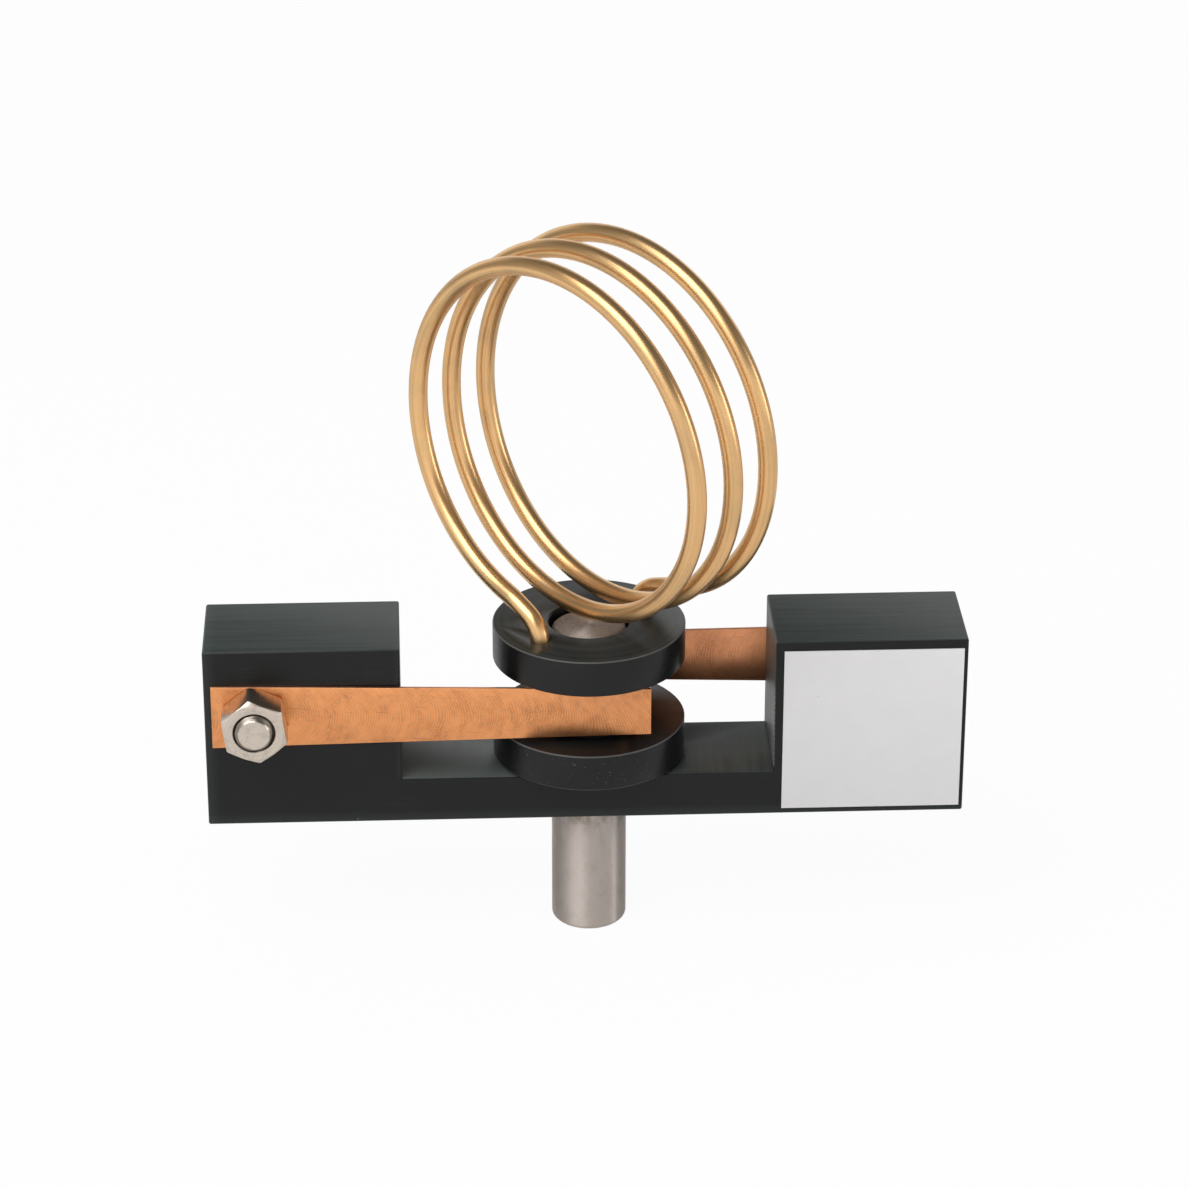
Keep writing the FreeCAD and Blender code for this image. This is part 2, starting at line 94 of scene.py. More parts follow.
def colour(name, description, red, green, blue):
    """Setting for a colour, in linear light."""
    return FloatVectorProperty(name=name, description=description, subtype="COLOR", size=3,
                               min=0.0, max=1.0, default=(red, green, blue))


class MotorSizes(bpy.types.PropertyGroup):
    """Sizes of the finer pieces, and of the coil's line.

    The line is the frame's, but its leads bend down into the disc with a wider radius.
    """
    edge_ease: length("Edge easing", "Rounding of cut edges", 0.00006)
    rod_radius: length("Rod radius", "Stem and axle", 0.005)
    seat_radius: length("Seat radius", "Knurled band of the rod, in the bar", 0.0052)
    rod_break: length("Rod end break", "Chamfer on both ends of the rod", 0.0005)
    rod_easing: number("Rod easing", "Rounding, as a share of the chamfer", 0.7, min=0.0)
    web_height: length("Web height", "Top of the bar's low middle", 0.0063)
    left_block: length("Left block", "Length of the block with the front stud", 0.02565)
    right_block: length("Right block", "Length of the block with the label", 0.02535)
    strip_height: length("Strip height", "Strips' middle above the underside", 0.0161)
    tip_lift: length("Tip lift", "How far the front strip's free end is bent up", 0.00025)
    stud_radius: length("Stud radius", "Over the thread's crests", 0.0025)
    stud_break: length("Stud end break", "Chamfer on both ends of a stud", 0.0005)
    thread_pitch: length("Thread pitch", "Of the studs", 0.0008)
    thread_depth: length("Thread depth", "Crest to root", 0.00045)
    nut_easing: length("Nut easing", "Rounding of the nut's edges", 0.00012)
    nut_width: length("Nut width", "Across flats", 0.008)
    nut_face: length("Nut face", "Diameter of the flat inside the corner chamfer", 0.0077)
    nut_countersink: length("Nut countersink", "Both mouths of the thread", 0.0003)
    nut_angle: angle("Nut angle", "Where the nut was tightened to", 38.0)
    wire_radius: length("Wire radius", "Of the coil", 0.00125)
    coil_radius: length("Coil radius", "Centre line of the middle turn", 0.02428)
    coil_turns: IntProperty(name="Turns", description="Turns of the coil", default=3, min=1)
    coil_pitch: length("Coil pitch", "Per turn, along the coil's axis", 0.00632)
    coil_gain: length("Radius gain", "Of the radius, per turn", 0.000346)
    coil_bow: length("Bow", "Middle turn's radius over its neighbours' mean", 0.000107)
    coil_oval: length("Oval", "Of a turn's long side, per turn from the middle", 0.0002)
    coil_oval_angle: angle("Oval angle", "From the lowest point to the long side", 20.5)
    coil_shift: length("Coil shift", "Middle turn from the rod's axis", -0.00014)
    coil_angle: angle("Coil angle", "Coil axis from +X in plan", 42.25)
    coil_lean: angle("Coil lean", "Coil axis above level", 1.3)
    coil_height: length("Coil height", "Coil axis above the bar's underside", 0.05293)
    lead_start: angle("Lead start", "Before the coil's lowest point", 16.0)
    lead_run: length("Lead run", "Straight on from the last turn", 0.0018)
    lead_easing: length("Lead easing", "Radius of the sideways bend", 0.008)
    lead_bend: length("Lead bend", "Radius of the bend down into the disc", 0.0041)
    lead_corner: length("Lead corner", "The bend's corner above the disc", 0.002)
    lead_reach: length("Lead reach", "Wire hole from the rod's axis", 0.00875)
    lead_angle: angle("Lead angle", "Wire hole from the coil's axis", -1.5)


class MotorColours(bpy.types.PropertyGroup):
    """Base colours of the finishes."""
    black: colour("Black plastic", "Bar, discs and hub", 0.0050, 0.0052, 0.0054)
    # film is partly a real grey film and partly painted top light on the plastic's upward faces
    film: colour("Film", "Thin grey film on the plastic's upper faces", 0.050, 0.064, 0.060)
    dust: colour("Dust", "Specks and scuffs on the plastic", 0.30, 0.31, 0.30)
    # milled also paints light on the web and a sheen on the right block's inner face
    milled: colour("Milled plastic", "Where a cutter left it dull", 0.098, 0.114, 0.109)
    ripple: colour("Ripple", "Crests that the cutter left", 0.26, 0.27, 0.26)
    # burr also paints the highlight along the discs' rims
    burr: colour("Burr", "Worn rims of the discs", 0.30, 0.30, 0.29)
    copper: colour("Copper", "Front strip", 0.96, 0.40, 0.152)
    # copper_stain also paints shade: the strips darken with it towards their free ends
    copper_stain: colour("Copper stain", "Tarnish on the strips", 0.40, 0.155, 0.068)
    rear_copper: colour("Rear copper", "Rear strip", 0.76, 0.32, 0.150)
    brass: colour("Brass", "Drawn wire", 0.875, 0.53, 0.24)
    brass_stain: colour("Brass stain", "Olive tarnish on the wire", 0.50, 0.355, 0.19)
    brass_shine: colour("Brass shine", "Fine bright lines along the wire", 0.97, 0.66, 0.34)
    brass_pit: colour("Brass pit", "Pits in the wire", 0.10, 0.07, 0.04)
    steel: colour("Ground steel", "Rod", 0.62, 0.55, 0.505)
    # steel_stain also paints the shade at the rod's foot
    steel_stain: colour("Steel stain", "Stains on the rod", 0.33, 0.28, 0.23)
    steel_pit: colour("Steel pit", "Specks on the rod's top", 0.10, 0.08, 0.07)
    nickel: colour("Bright steel", "Studs and nuts", 0.72, 0.637, 0.545)
    nickel_stain: colour("Nickel stain", "Tarnish on the studs and nuts", 0.40, 0.345, 0.29)
    # Painted shade in the gap between stud and nut
    thread_gap_shade: colour("Thread grime", "Dirt between stud and nut", 0.12, 0.10, 0.085)
    label: colour("Label", "Bare film", 0.77, 0.76, 0.77)
    washer: colour("Washer", "White plastic", 0.80, 0.79, 0.76)
    solder: colour("Solder", "Soldered ends of the coil", 0.62, 0.62, 0.62)
    flux: colour("Flux", "Brown traces on the solder", 0.40, 0.33, 0.22)


class MotorStage(bpy.types.PropertyGroup):
    """Camera, floor and lights."""
    target: FloatVectorProperty(
        name="Target", description="Point that the camera's distance is measured from",
        default=(-0.0006, 0.0, 0.0128), size=3, subtype="TRANSLATION", unit="LENGTH")
    yaw: angle("Yaw", "Camera's turn to the right", 2.5283)
    pitch: angle("Pitch", "Camera's tilt down", 25.3928)
    roll: angle("Roll", "Camera's tilt to the side", 0.063)
    distance: length("Distance", "Camera to target, along its view", 0.558654)
    aside: length("Aside", "Camera's shift to its right", 0.001277)
    above: length("Above", "Camera's shift upwards", 0.014913)
    lens: number("Lens", "Focal length in millimetres", 127.037, min=1.0, unit="CAMERA")
    ambient: number("Ambient", "Light from all round", 0.42)
    ceiling: number("Ceiling", "Studio ceiling in reflections", 0.16)
    softbox: number("Softbox", "Large lamp over the front, in watts", 7.0, unit="POWER")
    strip_lamp: number("Strip lamp", "Narrow lamp on the right, in watts", 1.1, unit="POWER")


# Grids and profiles

def unit(vectors):
    """Each vector divided by its length."""
    return vectors / np.linalg.norm(vectors, axis=-1, keepdims=True)


def eased(corners, radius, steps=3):
    """Line through corners with each inner corner rounded.

    A corner P becomes (1-t)^2 A + 2t(1-t) P + t^2 B, where A and B lie at radius from it on
    its two sides, or at a bit less than half of a shorter side.
    """
    inner = corners[1:-1]
    back = corners[:-2] - inner
    ahead = corners[2:] - inner
    back_length = np.linalg.norm(back, axis=-1, keepdims=True)
    ahead_length = np.linalg.norm(ahead, axis=-1, keepdims=True)
    reach = np.minimum(radius, 0.45 * np.minimum(back_length, ahead_length))
    start = inner + back / back_length * reach
    end = inner + ahead / ahead_length * reach
    share = np.linspace(0, 1, steps + 1).reshape((1, -1) + (1,) * (corners.ndim - 1))
    bends = ((1 - share) ** 2 * start[:, None] + 2 * share * (1 - share) * inner[:, None]
             + share ** 2 * end[:, None])
    return np.concatenate([corners[:1], bends.reshape((-1,) + corners.shape[1:]), corners[-1:]])


def grid_piece(name, points, cells=None, sharp=35.0):
    """Mesh on a grid of points, with a four-sided face for each cell of the grid.

    points has the shape (rows, columns, 3), and the face of cell (i, j) joins its points
    (i, j), (i, j+1), (i+1, j+1) and (i+1, j). cells holds a UV pair per point. The faces are
    turned over where the volume, a sixth of the sum of a . (b x c) over the triangles, is
    negative. Doubles at seams and poles are merged at the end.
    """
    rows, columns = points.shape[:2]
    index = np.arange(rows * columns).reshape(rows, columns)
    quads = np.stack([index[:-1, :-1], index[:-1, 1:], index[1:, 1:], index[1:, :-1]], -1)
    quads = quads.reshape(-1, 4)
    flat = points.reshape(-1, 3)
    a, b, c, d = (flat[quads[:, k]] for k in range(4))
    if np.sum(a * (np.cross(b, c) + np.cross(c, d))) < 0:
        quads = quads[:, ::-1]
    mesh = bpy.data.meshes.new(name)
    mesh.vertices.add(len(flat))
    mesh.vertices.foreach_set("co", flat.ravel())
    mesh.loops.add(quads.size)
    mesh.loops.foreach_set("vertex_index", quads.ravel())
    mesh.polygons.add(len(quads))
    mesh.polygons.foreach_set("loop_start", np.arange(len(quads)) * 4)
    mesh.update(calc_edges=True)
    if cells is not None:
        layer = mesh.uv_layers.new(name="Cells")
        layer.data.foreach_set("uv", cells.reshape(-1, 2)[quads.ravel()].ravel())
    close(mesh, GRID_GAP)
    mesh.shade_smooth()
    mesh.set_sharp_from_angle(angle=math.radians(sharp))
    return link(name, mesh)


def close(mesh, gap):
    """Merge the doubles of a mesh, and drop the faces that lose their area by it."""
    work = bmesh.new()
    work.from_mesh(mesh)
    bmesh.ops.remove_doubles(work, verts=work.verts, dist=gap)
    bmesh.ops.dissolve_degenerate(work, edges=work.edges, dist=gap)
    work.to_mesh(mesh)
    work.free()


def link(name, mesh):
    """New object with the mesh, in the scene."""
    piece = bpy.data.objects.new(name, mesh)
    bpy.context.scene.collection.objects.link(piece)
    return piece


def turned(name, profile, sides=144):
    """Surface of revolution: (r cos a, r sin a, z) for each (r, z) of the profile."""
    around = np.linspace(0, 2 * np.pi, sides + 1)
    radius, height = profile[:, :1], profile[:, 1:]
    points = np.stack([radius * np.cos(around), radius * np.sin(around),
                       np.broadcast_to(height, (len(profile), sides + 1))], -1)
    return grid_piece(name, points)


def eased_copy(node, name, width, segments=2):
    """Copy of a node's mesh with its flat faces joined and its edges rounded to width."""
    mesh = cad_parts[node].data.copy()
    mesh.name = name
    mesh.materials.clear()
    close(mesh, NODE_GAP)
    work = bmesh.new()
    work.from_mesh(mesh)
    bmesh.ops.dissolve_limit(work, angle_limit=FLAT_ANGLE, verts=work.verts, edges=work.edges)
    work.to_mesh(mesh)
    work.free()
    mesh.shade_smooth()
    piece = link(name, mesh)
    bevel = piece.modifiers.new("easing", "BEVEL")
    bevel.limit_method = "ANGLE"
    bevel.angle_limit = EDGE_ANGLE
    bevel.width = width
    bevel.segments = segments
    bevel.harden_normals = True
    graph = bpy.context.evaluated_depsgraph_get()
    graph.update()
    settled = bpy.data.meshes.new_from_object(piece.evaluated_get(graph), depsgraph=graph,
                                              preserve_all_data_layers=True)
    piece.modifiers.clear()
    piece.data = settled
    return piece


def dress(piece, material, body, slot, *nodes):
    """Give a new piece its material and body, and hide the nodes it stands for; its slot is not
    used.
    """
    piece.data.materials.clear()
    piece.data.materials.append(material)
    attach(piece, body)
    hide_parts(*nodes)


def paint_node(node, material):
    """Give a node its finish; the node's own mesh stays as it is."""
    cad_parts[node].material_slots[0].material = material


# Shader maths

class Value:
    """An output of a node; arithmetic on it adds Math nodes."""

    def __init__(self, nodes, socket):
        self.nodes = nodes
        self.socket = socket

    def math(self, operation, *others):
        """Math node with this value first."""
        return self.nodes.add("ShaderNodeMath", {"operation": operation}, [self, *others])

    def __add__(self, other):
        return self.math("ADD", other)

    __radd__ = __add__

    def __sub__(self, other):
        return self.math("SUBTRACT", other)

    def __rsub__(self, other):
        return self.nodes.add("ShaderNodeMath", {"operation": "SUBTRACT"}, [other, self])

    def __mul__(self, other):
        return self.math("MULTIPLY", other)

    __rmul__ = __mul__

    def rise(self, low, high):
        """0 at low, 1 at high and smooth between; low may be above high."""
        return self.nodes.add("ShaderNodeMapRange", {"interpolation_type": "SMOOTHSTEP"},
                              {"Value": self, "From Min": low, "From Max": high})

    def band(self, low, high, blur):
        """1 between low and high, 0 outside, with blurred sides."""
        return self.rise(low - blur, low + blur) * self.rise(high + blur, high - blur)


class Nodes:
    """The nodes of a material or world in the making."""

    def __init__(self, owner):
        owner.use_nodes = True
        self.owner = owner
        self.tree = owner.node_tree
        self.tree.nodes.clear()

    def add(self, kind, settings, inputs, output=0):
        """Add a node with its settings, then its values and links; return one output."""
        node = self.tree.nodes.new(kind)
        for key, value in settings.items():
            setattr(node, key, value)
        for key, value in inputs.items() if isinstance(inputs, dict) else enumerate(inputs):
            if isinstance(value, Value):
                self.tree.links.new(value.socket, node.inputs[key])
            else:
                node.inputs[key].default_value = value
        return Value(self, node.outputs[output]) if node.outputs else None

    def seen(self, direct=1.0, reflected=1.0):
        """A share for rays from the camera and one for rays off gloss or through glass."""
        outputs = self.add("ShaderNodeLightPath", {}, {}).socket.node.outputs
        first = Value(self, outputs["Is Camera Ray"])
        gloss = Value(self, outputs["Is Glossy Ray"])
        glass = Value(self, outputs["Is Transmission Ray"])
        return (first * direct).math("MAXIMUM", gloss.math("MAXIMUM", glass) * reflected)


class Paint(Nodes):
    """A material in the making. x, y and z are the place on the piece in millimetres."""

    def __init__(self, name):
        super().__init__(bpy.data.materials.new(name))
        place = self.add("ShaderNodeTexCoord", {}, {}, "Object")
        self.place = self.vector("SCALE", place, Scale=1 / MM)
        self.x, self.y, self.z = self.parts(self.place)

    def vector(self, operation, first, *others, **inputs):
        """Vector Math on vectors."""
        inputs = {**dict(enumerate((first, *others))), **inputs}
        return self.add("ShaderNodeVectorMath", {"operation": operation}, inputs)

    def parts(self, vector):
        """The three numbers of a vector."""
        first = self.add("ShaderNodeSeparateXYZ", {}, [vector])
        outputs = first.socket.node.outputs
        return first, Value(self, outputs[1]), Value(self, outputs[2])

    def join(self, x, y, z):
        """A vector of three numbers."""
        return self.add("ShaderNodeCombineXYZ", {}, [x, y, z])

    def cells(self):
        """The numbers of the piece's own UV map."""
        return self.parts(self.add("ShaderNodeUVMap", {"uv_map": "Cells"}, {}))[:2]

    def facing(self, axis):
        """Part of the surface's direction along x, y or z, which are axis 0, 1 and 2."""
        return self.parts(self.add("ShaderNodeNewGeometry", {}, {}, "Normal"))[axis]

    def span(self, first, second):
        """Length of the vector (first, second)."""
        return (first * first + second * second).math("SQRT")

    def wave(self, place, pitch):
        """Waves from 0 to 1, one for each pitch: sin(2 pi place / pitch) / 2 + 1/2."""
        return (place * (2 * math.pi / pitch)).math("SINE") * 0.5 + 0.5

    def noise(self, vector, per_mm, detail=2.0, roughness=0.5):
        """Cloudy noise from 0 to 1, about 0.5; per_mm is a number, or one for each axis."""
        if isinstance(per_mm, tuple):
            vector = self.vector("MULTIPLY", vector, per_mm)
            per_mm = 1.0
        return self.add("ShaderNodeTexNoise", {}, {"Vector": vector, "Scale": per_mm,
                                                   "Detail": detail, "Roughness": roughness})

    def cloudy(self, per_mm, detail=2.0, roughness=0.5):
        """Noise on the place itself."""
        return self.noise(self.place, per_mm, detail, roughness)

    def specks(self, vector, spacing, size, share):
        """Round specks of a size, one at most per cell of spacing, in that share of them."""
        near = self.add("ShaderNodeTexVoronoi", {}, {"Vector": vector, "Scale": 1 / spacing})
        cell = Value(self, near.socket.node.outputs["Color"])
        pick = self.add("ShaderNodeSeparateColor", {}, [cell])
        return near.rise(size / spacing, 0.4 * size / spacing) * pick.math("LESS_THAN", share)

    def mix(self, factor, first, second):
        """Colour that goes from first to second as factor goes from 0 to 1."""
        return self.add("ShaderNodeMix", {"data_type": "RGBA", "clamp_factor": True},
                        {0: factor, 6: rgba(first), 7: rgba(second)}, 2)

    def shade(self, tone, amount):
        """Colour times a number."""
        grey = self.add("ShaderNodeCombineColor", {}, [amount, amount, amount])
        return self.add("ShaderNodeMix", {"data_type": "RGBA", "blend_type": "MULTIPLY"},
                        {0: 1.0, 6: rgba(tone), 7: grey}, 2)

    def relief(self, height, depth):
        """Normal of a surface that rises by height times depth, in millimetres."""
        return self.add("ShaderNodeBump", {}, {"Height": height, "Distance": depth * MM})

    def finish(self, tone, rough, height, depth, **sockets):
        """Principled surface of a colour, a roughness and a relief.

        The names of its other sockets are written with underscores for spaces.
        """
        inputs = {key.replace("_", " "): value for key, value in sockets.items()}
        inputs.update({"Base Color": tone, "Roughness": rough,
                       "Normal": self.relief(height, depth)})
        surface = self.add("ShaderNodeBsdfPrincipled", {}, inputs)
        self.add("ShaderNodeOutputMaterial", {}, {"Surface": surface})
        return self.owner


def rgba(value):
    """A colour of three numbers with its alpha; anything else as it is."""
    if isinstance(value, Value) or not hasattr(value, "__len__") or len(value) != 3:
        return value
    return (*value, 1.0)


# Finishes

def milled_plastic(colours, sizes):
    """Black sheet plastic: sawn along the bar, with cutter marks where the middle is milled."""
    paint = Paint("milled_black_plastic")
    x, y, z = paint.x, paint.y, paint.z
    web_top = sizes.web_height / MM
    left = (BAR_LOW.x + sizes.left_block) / MM
    right = (BAR_HIGH.x - sizes.right_block) / MM
    front = BAR_LOW.y / MM
    # Saw marks run along the bar, and the cutter's marks on the low middle run across it
    cloud = paint.cloudy(0.16, 3.0)
    sawn = paint.cloudy((0.05, 2.2, 2.2), 4.0, 0.65)
    fine = paint.cloudy((0.25, 9.0, 9.0), 2.0)
    on_web = x.band(left + 0.1, right - 0.1, 0.05) * z.band(web_top - 0.15, web_top + 0.2, 0.05)
    milled = paint.cloudy((1.9, 0.07, 1.0), 4.0, 0.6)
    # A rubbed patch lies right of the rotor, and ripples on the step up to the right block
    ragged = paint.cloudy((1.4, 0.5, 1.0), 3.0, 0.6)
    rubbed = on_web * x.rise(12.0, 13.0) * (y + ragged * 3.0).rise(front + 6.4, front + 7.6)
    step = x.band(right - 0.1, right + 0.1, 0.05) * z.rise(web_top + 0.5, web_top + 0.8)
    ripples = paint.wave(z + ragged * 0.5, 0.75)
    strokes = ripples * step * y.rise(front + 6.5, front + 3.0) * (
        z.rise(web_top + 14.0, web_top + 10.0))
    marks = sawn * (1 - on_web) + milled * on_web
    # A thin pale film lies on upper faces, partly real and partly painted light from above. Of
    # the left block's sides, the outer end is worn and the inner one has a painted highlight,
    # and the foot is worn too
    upper = paint.facing(2).rise(0.6, 0.9)
    # inner is a painted highlight on the left block's inner face and its front edge, above the
    # web
    inner = x.rise(left - 1.0, left) * x.rise(0.0, -1.0) * z.rise(web_top, web_top + 0.6) * 0.6
    border = x.rise(BAR_LOW.x / MM + 1.8, BAR_LOW.x / MM + 0.2) + inner + z.rise(1.8, 0.2)
    border = border * (1 - on_web) * 0.25
    rub_and_edge_glint = fine.rise(0.56, 0.72) * cloud.rise(0.45, 0.7) * 0.10 + border
    specks = paint.specks(paint.place, 2.6, 0.10, 0.14) + paint.specks(
        paint.vector("ADD", paint.place, (3.7, 1.3, 5.1)), 4.1, 0.15, 0.16)
    tone = paint.shade(colours.black, 0.8 + marks * 0.3 + cloud * 0.2)
    tone = paint.mix(upper * (0.5 + marks.rise(0.3, 0.7) * 0.4) + rub_and_edge_glint, tone, colours.film)
    # Painted light: the web is lifted towards the milled colour, most of all left of the rotor,
    # and the right block's inner face gets a painted sheen
    pale = on_web * upper * (0.08 + x.rise(0.0, -4.0) * 0.80)
    tone = paint.mix(rubbed * 0.25 + pale + step * 0.60, tone, colours.milled)
    tone = paint.mix(strokes * 0.55, tone, colours.ripple)
    tone = paint.mix(specks * 0.7, tone, colours.dust)
    rough = 0.30 + marks * 0.14 + cloud * 0.08 + rubbed * 0.10 + specks * 0.3
    height = marks * (0.5 + on_web * 0.9) + fine * 0.2 + strokes + specks * 0.8
    return paint.finish(tone, rough, height, 0.010, IOR=1.36)


def turned_plastic(name, colours, specks_share=0.10):
    """Black rod plastic, faced on a lathe: rings about the rod's axis, and a painted highlight
    along the rims' edges.
    """
    paint = Paint(name)
    radius = paint.span(paint.x, paint.y)
    rings = paint.noise(paint.join(radius, paint.z * 0.7, 0.0), 3.0, 4.0, 0.65)
    cloud = paint.cloudy(0.22, 3.0)
    scuff = paint.cloudy(2.6, 3.0, 0.7)
    outer, upper_top, lower_top = DISC_HIGH.x / MM, DISC_HIGH.z / MM, LOWER_HIGH.z / MM
    height = paint.z
    edges = (height.band(upper_top - 0.16, upper_top + 0.1, 0.03)
             + height.band(lower_top - 0.16, lower_top + 0.1, 0.03)
             + height.band(LOWER_LOW.z / MM - 0.1, LOWER_LOW.z / MM + 0.16, 0.03) * 0.6)
    rim_glint = radius.rise(outer - 0.17, outer - 0.13) * edges
    burr = radius.rise(outer - 0.6, outer - 0.2) * height.rise(lower_top + 1.0, lower_top) * (
        scuff.rise(0.66, 0.74))
    specks = paint.specks(paint.place, 2.1, 0.09, specks_share)
    upper = paint.facing(2).rise(0.6, 0.9)
    tone = paint.shade(colours.black, 0.7 + rings * 0.4 + cloud * 0.3)
    # Film on upper faces: partly real, partly painted top light, stronger towards the upper
    # disc's top
    tone = paint.mix(upper * (0.05 + height.rise(lower_top + 2.0, upper_top - 2.0) * (
        0.08 + rings.rise(0.35, 0.65) * 0.30)), tone, colours.film)
    # A painted highlight along the rims' edges, and real burr wear on the lower disc's side
    tone = paint.mix(rim_glint * 0.28 + burr * 0.6, tone, colours.burr)
    tone = paint.mix(specks * 0.7, tone, colours.dust)
    rough = 0.26 + rings * 0.14 + cloud * 0.06 + rim_glint * 0.2
    return paint.finish(tone, rough, rings + specks * 0.8 + burr, 0.010, IOR=1.38,
                        Anisotropic=0.6, Anisotropic_Rotation=0.25)


def strip_copper(name, main, stain, side, sizes):
    """Copper strip rubbed across with an abrasive: bowed strokes, tarnish in clusters, a
    painted highlight on its cut edges and painted shade towards its free end.
    """
    paint = Paint(name)
    x, z = paint.x * -side, paint.z - sizes.strip_height / MM
    mottle = paint.cloudy(0.22, 4.0, 0.62)
    grain = paint.cloudy(5.0, 4.0, 0.7)
    tip = x.rise(-4.0, 5.0)
    bowed = x + z * z * (0.115 - tip * 0.06) + z * tip * 0.55
    waver = paint.noise(paint.join(bowed * 0.5, z * 0.35, 2.0), 1.0, 2.0)
    strokes = paint.wave(bowed + waver * 0.7, 0.34)
    depth = paint.noise(paint.join(bowed, z * 0.5, 0.0), 0.9, 3.0).rise(0.35, 0.60)
    strokes = strokes * (depth * 0.6 + 0.4)
    # cut marks the faces across the strip, its cut edges, which get a painted highlight below
    cut = (1 - paint.facing(1).math("ABSOLUTE")).rise(0.15, 0.45)
    broad = paint.noise(paint.join(bowed, z * 0.55, 4.0), 1.0, 3.0, 0.6)
    cluster = mottle.rise(0.42, 0.68) * grain.rise(0.42, 0.58)
    long_scratch = paint.noise(paint.join(x * 0.12, z * 2.6 + x * 0.25, 0.0), 1.0, 2.0)
    lit = grain.rise(0.50, 0.66) * 0.50 + broad.rise(0.55, 0.75) * 0.25
    dull = (strokes * 0.34 + cluster * 0.46 + broad.rise(0.50, 0.30) * 0.18
            + long_scratch.rise(0.66, 0.70) * 0.25)
    # Tarnish, and painted shade that darkens the strip towards its free end
    tone = paint.mix(dull + x.rise(-10.0, 2.0) * 0.22, main, stain)
    # Pale copper on bright spots at random, and on the cut edges as a painted highlight
    pale = tuple(min(1.0, 0.75 * channel + 0.26) for channel in main)
    tone = paint.mix(lit * 0.5 + cut * 0.6, tone, pale)
    rough = 0.24 + mottle * 0.12 + cluster * 0.15 + strokes * 0.06
    height = grain * 1.2 + mottle * 1.0 - strokes * 0.8
    return paint.finish(tone, rough, height, 0.005, Metallic=1.0)


def half_shell_copper(colours, sizes):
    """Copper of the half shells, rubbed bright where the strips run."""
    paint = Paint("commutator_copper")
    around = paint.cloudy((0.3, 0.3, 5.0), 3.0, 0.6)
    mottle = paint.cloudy(0.5, 3.0, 0.6)
    middle = sizes.strip_height / MM
    track = paint.z.band(middle - 3.3, middle + 3.3, 0.4)
    tone = paint.mix(mottle.rise(0.4, 0.7) * (1 - track * 0.6), colours.copper,
                     colours.copper_stain)
    rough = 0.36 + mottle * 0.15 - track * 0.10
    return paint.finish(tone, rough, around * track, 0.006, Metallic=1.0)


def drawn_brass(colours):
    """Drawn brass wire: fine lines along it, olive stretches and a few pits.

    The UV map counts millimetres along the wire and turns round it.
    """
    paint = Paint("drawn_brass")
    along, turn = paint.cells()
    turn = turn * (2 * math.pi)
    ring = paint.join(turn.math("COSINE"), turn.math("SINE"), along * 0.010)
    lines = paint.noise(ring, (5.0, 5.0, 1.0), 2.0, 0.6)
    hair = paint.noise(ring, (14.0, 14.0, 3.0), 2.0, 0.6)
    cloud = paint.cloudy(0.16, 3.0)
    patches = paint.cloudy(0.75, 4.0, 0.65)
    grain = paint.cloudy(5.0, 2.0, 0.6)
    pits = paint.specks(paint.place, 3.1, 0.15, 0.10)
    stain = (cloud.rise(0.44, 0.68) * 0.30 + patches.rise(0.60, 0.78) * 0.15
             + lines.rise(0.50, 0.66) * 0.55 + grain.rise(0.5, 0.8) * 0.08)
    tone = paint.mix(stain, colours.brass, colours.brass_stain)
    tone = paint.mix(hair.rise(0.52, 0.66) * 0.35, tone, colours.brass_shine)
    tone = paint.mix(pits, tone, colours.brass_pit)
    rough = 0.19 + cloud * 0.12 + lines * 0.12 + pits * 0.3
    height = lines * 1.2 + patches * 0.15 - pits * 3.0
    return paint.finish(tone, rough, height, 0.0035, Metallic=1.0)


def ground_steel(colours):
    """Ground rod: marks round it, streaks down it, a stain under the bar, a pitted top and
    painted shade at its foot.
    """
    paint = Paint("ground_steel")
    z = paint.z
    streaks = paint.cloudy((0.9, 0.9, 0.12), 3.0, 0.6)
    ground = paint.cloudy((0.5, 0.5, 12.0), 3.0, 0.6)
    blots = paint.cloudy((0.55, 0.55, 0.40), 5.0, 0.7)
    grain = paint.cloudy(4.5, 3.0, 0.6)
    foot, top = ROD_LOW.z / MM, ROD_HIGH.z / MM
    by_bar = z.rise(-4.5, -0.5) * z.rise(1.5, 0.5)
    on_top = z.rise(top - 0.3, top - 0.1)
    specks = paint.specks(paint.place, 1.5, 0.13, 0.25) * on_top
    # The last 0.9 mm at the foot is darkened with the stain colour as painted shade
    stain = (blots.rise(0.40, 0.60) * by_bar * 0.8 + blots.rise(0.45, 0.75) * 0.22
             + grain.rise(0.4, 0.7) * 0.10 + streaks.rise(0.5, 0.8) * 0.12
             + on_top * grain.rise(0.38, 0.64) * 0.34 + z.rise(foot + 0.9, foot + 0.3) * 0.2)
    tone = paint.mix(stain, colours.steel, colours.steel_stain)
    tone = paint.mix(specks, tone, colours.steel_pit)
    rough = 0.42 + streaks * 0.06 + blots * 0.06 + on_top * 0.50
    height = ground + specks + grain * (on_top * 4.0 + 0.4) + blots * on_top * 5.0
    return paint.finish(tone, rough, height, 0.003, Metallic=1.0, Anisotropic=0.9,
                        Anisotropic_Rotation=0.25)


